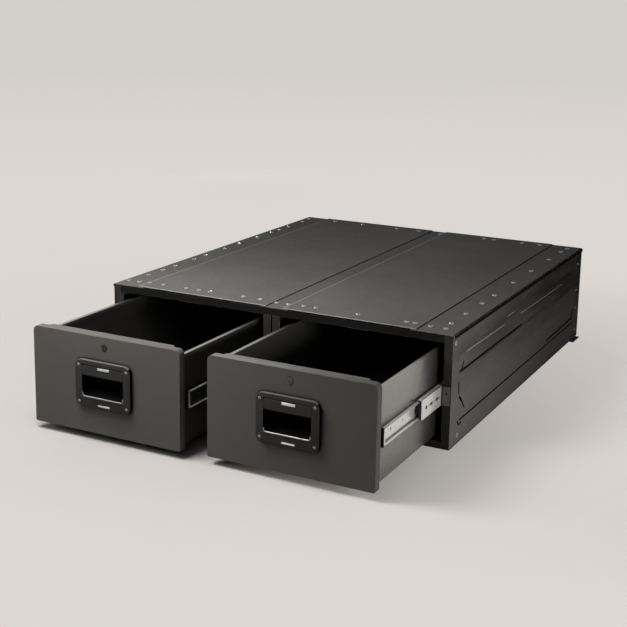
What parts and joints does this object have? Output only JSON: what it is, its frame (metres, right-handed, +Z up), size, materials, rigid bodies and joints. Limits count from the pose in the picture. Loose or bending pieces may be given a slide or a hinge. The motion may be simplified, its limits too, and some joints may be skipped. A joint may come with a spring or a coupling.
{
  "type": "double drawer system",
  "caption": "Low dark steel cabinet with side-by-side full-extension drawers, recessed slam latches, cam locks and a load-carrying deck.",
  "frame": {"origin": "centre of the cabinet's underside, on the surface it stands on", "axes": "+Z up, +Y from the drawer fronts to the back, +X to the right as seen from the front"},
  "size_m": [1.0226, 1.5424, 0.2933],
  "materials": {
    "cabinet_coat": "dark textured powder coat, satin to matt",
    "deck_coat": "dark grey textured coat, matt",
    "drawer_coat": "dark textured powder coat, satin",
    "latch_coat": "smooth dark coat, satin",
    "bright_zinc": "bright zinc plate",
    "dark_steel": "dark plated steel"
  },
  "bodies": {
    "cabinet": {"base_pan": "cabinet_coat", "side_panel_left": "cabinet_coat", "side_panel_right": "cabinet_coat", "back_panel": "cabinet_coat", "centre_upright_left": "cabinet_coat", "centre_upright_right": "cabinet_coat", "front_rail": "cabinet_coat", "top_strip_left": "cabinet_coat", "top_strip_centre": "cabinet_coat", "top_strip_right": "cabinet_coat", "hold_down_left": "cabinet_coat", "hold_down_right": "cabinet_coat", "deck_panel_left": "deck_coat", "deck_panel_right": "deck_coat", "slide_support_left_outer": "cabinet_coat", "cabinet_member_left_outer": "bright_zinc", "slide_support_left_inner": "cabinet_coat", "cabinet_member_left_inner": "bright_zinc", "striker_left": "bright_zinc", "slide_support_right_outer": "cabinet_coat", "cabinet_member_right_outer": "bright_zinc", "slide_support_right_inner": "cabinet_coat", "cabinet_member_right_inner": "bright_zinc", "striker_right": "bright_zinc"},
    "drawer_left": {"drawer_front_left": "drawer_coat", "drawer_tray_left": "drawer_coat", "drawer_back_left": "drawer_coat", "drawer_member_left_outer": "bright_zinc", "drawer_member_left_inner": "bright_zinc", "latch_frame_left": "latch_coat", "latch_pin_left": "bright_zinc", "latch_case_left": "dark_steel", "latch_spring_left": "dark_steel"},
    "intermediate_left_outer": {"intermediate_member_left_outer": "bright_zinc"},
    "outer_cage_left_outer": {"outer_ball_cage_left_outer": "dark_steel"},
    "inner_cage_left_outer": {"inner_ball_cage_left_outer": "dark_steel"},
    "intermediate_left_inner": {"intermediate_member_left_inner": "bright_zinc"},
    "outer_cage_left_inner": {"outer_ball_cage_left_inner": "dark_steel"},
    "inner_cage_left_inner": {"inner_ball_cage_left_inner": "dark_steel"},
    "latch_paddle_left": {"latch_paddle_left": "latch_coat"},
    "latch_bolt_left": {"latch_bolt_left": "bright_zinc"},
    "cam_lock_left": {"cam_lock_left": "dark_steel"},
    "drawer_right": {"drawer_front_right": "drawer_coat", "drawer_tray_right": "drawer_coat", "drawer_back_right": "drawer_coat", "drawer_member_right_outer": "bright_zinc", "drawer_member_right_inner": "bright_zinc", "latch_frame_right": "latch_coat", "latch_pin_right": "bright_zinc", "latch_case_right": "dark_steel", "latch_spring_right": "dark_steel"},
    "intermediate_right_outer": {"intermediate_member_right_outer": "bright_zinc"},
    "outer_cage_right_outer": {"outer_ball_cage_right_outer": "dark_steel"},
    "inner_cage_right_outer": {"inner_ball_cage_right_outer": "dark_steel"},
    "intermediate_right_inner": {"intermediate_member_right_inner": "bright_zinc"},
    "outer_cage_right_inner": {"outer_ball_cage_right_inner": "dark_steel"},
    "inner_cage_right_inner": {"inner_ball_cage_right_inner": "dark_steel"},
    "latch_paddle_right": {"latch_paddle_right": "latch_coat"},
    "latch_bolt_right": {"latch_bolt_right": "bright_zinc"},
    "cam_lock_right": {"cam_lock_right": "dark_steel"}
  },
  "joints": [
    {"name": "drawer_left_slide", "type": "slide", "parent": "cabinet", "child": "drawer_left", "axis": [0, -1, 0], "range_m": [-0.374, 0.626]},
    {"name": "intermediate_left_outer_slide", "type": "slide", "parent": "cabinet", "child": "intermediate_left_outer", "axis": [0, -1, 0], "range_m": [-0.187, 0.313]},
    {"name": "outer_cage_left_outer_slide", "type": "slide", "parent": "cabinet", "child": "outer_cage_left_outer", "axis": [0, -1, 0], "range_m": [-0.0935, 0.1565]},
    {"name": "inner_cage_left_outer_slide", "type": "slide", "parent": "cabinet", "child": "inner_cage_left_outer", "axis": [0, -1, 0], "range_m": [-0.2805, 0.4695]},
    {"name": "intermediate_left_inner_slide", "type": "slide", "parent": "cabinet", "child": "intermediate_left_inner", "axis": [0, -1, 0], "range_m": [-0.187, 0.313]},
    {"name": "outer_cage_left_inner_slide", "type": "slide", "parent": "cabinet", "child": "outer_cage_left_inner", "axis": [0, -1, 0], "range_m": [-0.0935, 0.1565]},
    {"name": "inner_cage_left_inner_slide", "type": "slide", "parent": "cabinet", "child": "inner_cage_left_inner", "axis": [0, -1, 0], "range_m": [-0.2805, 0.4695]},
    {"name": "latch_paddle_left_hinge", "type": "hinge", "parent": "drawer_left", "child": "latch_paddle_left", "pos_m": [-0.24975, -0.9575, 0.1902], "axis": [-1, 0, 0], "range_deg": [0, 15]},
    {"name": "latch_bolt_left_slide", "type": "slide", "parent": "drawer_left", "child": "latch_bolt_left", "axis": [0, 0, 1], "range_m": [-0.01194, 0], "stiffness_N_per_m": 300, "springref_m": 0.008, "deforming": ["latch_spring_left"]},
    {"name": "cam_lock_left_turn", "type": "hinge", "parent": "drawer_left", "child": "cam_lock_left", "pos_m": [-0.24975, -0.9525, 0.2415], "axis": [0, -1, 0], "range_deg": [0, 90]},
    {"name": "drawer_right_slide", "type": "slide", "parent": "cabinet", "child": "drawer_right", "axis": [0, -1, 0], "range_m": [-0.363, 0.637]},
    {"name": "intermediate_right_outer_slide", "type": "slide", "parent": "cabinet", "child": "intermediate_right_outer", "axis": [0, -1, 0], "range_m": [-0.1815, 0.3185]},
    {"name": "outer_cage_right_outer_slide", "type": "slide", "parent": "cabinet", "child": "outer_cage_right_outer", "axis": [0, -1, 0], "range_m": [-0.09075, 0.15925]},
    {"name": "inner_cage_right_outer_slide", "type": "slide", "parent": "cabinet", "child": "inner_cage_right_outer", "axis": [0, -1, 0], "range_m": [-0.27225, 0.47775]},
    {"name": "intermediate_right_inner_slide", "type": "slide", "parent": "cabinet", "child": "intermediate_right_inner", "axis": [0, -1, 0], "range_m": [-0.1815, 0.3185]},
    {"name": "outer_cage_right_inner_slide", "type": "slide", "parent": "cabinet", "child": "outer_cage_right_inner", "axis": [0, -1, 0], "range_m": [-0.09075, 0.15925]},
    {"name": "inner_cage_right_inner_slide", "type": "slide", "parent": "cabinet", "child": "inner_cage_right_inner", "axis": [0, -1, 0], "range_m": [-0.27225, 0.47775]},
    {"name": "latch_paddle_right_hinge", "type": "hinge", "parent": "drawer_right", "child": "latch_paddle_right", "pos_m": [0.24975, -0.9465, 0.1902], "axis": [-1, 0, 0], "range_deg": [0, 15]},
    {"name": "latch_bolt_right_slide", "type": "slide", "parent": "drawer_right", "child": "latch_bolt_right", "axis": [0, 0, 1], "range_m": [-0.01194, 0], "stiffness_N_per_m": 300, "springref_m": 0.008, "deforming": ["latch_spring_right"]},
    {"name": "cam_lock_right_turn", "type": "hinge", "parent": "drawer_right", "child": "cam_lock_right", "pos_m": [0.24975, -0.9415, 0.2415], "axis": [0, -1, 0], "range_deg": [0, 90]}
  ],
  "couplings": [
    {"joint": "intermediate_left_outer_slide", "follows": "drawer_left_slide", "ratio": 0.5},
    {"joint": "outer_cage_left_outer_slide", "follows": "drawer_left_slide", "ratio": 0.25},
    {"joint": "inner_cage_left_outer_slide", "follows": "drawer_left_slide", "ratio": 0.75},
    {"joint": "intermediate_left_inner_slide", "follows": "drawer_left_slide", "ratio": 0.5},
    {"joint": "outer_cage_left_inner_slide", "follows": "drawer_left_slide", "ratio": 0.25},
    {"joint": "inner_cage_left_inner_slide", "follows": "drawer_left_slide", "ratio": 0.75},
    {"joint": "latch_bolt_left_slide", "follows": "latch_paddle_left_hinge", "m_per_rad": -0.0455},
    {"joint": "intermediate_right_outer_slide", "follows": "drawer_right_slide", "ratio": 0.5},
    {"joint": "outer_cage_right_outer_slide", "follows": "drawer_right_slide", "ratio": 0.25},
    {"joint": "inner_cage_right_outer_slide", "follows": "drawer_right_slide", "ratio": 0.75},
    {"joint": "intermediate_right_inner_slide", "follows": "drawer_right_slide", "ratio": 0.5},
    {"joint": "outer_cage_right_inner_slide", "follows": "drawer_right_slide", "ratio": 0.25},
    {"joint": "inner_cage_right_inner_slide", "follows": "drawer_right_slide", "ratio": 0.75},
    {"joint": "latch_bolt_right_slide", "follows": "latch_paddle_right_hinge", "m_per_rad": -0.0455}
  ]
}
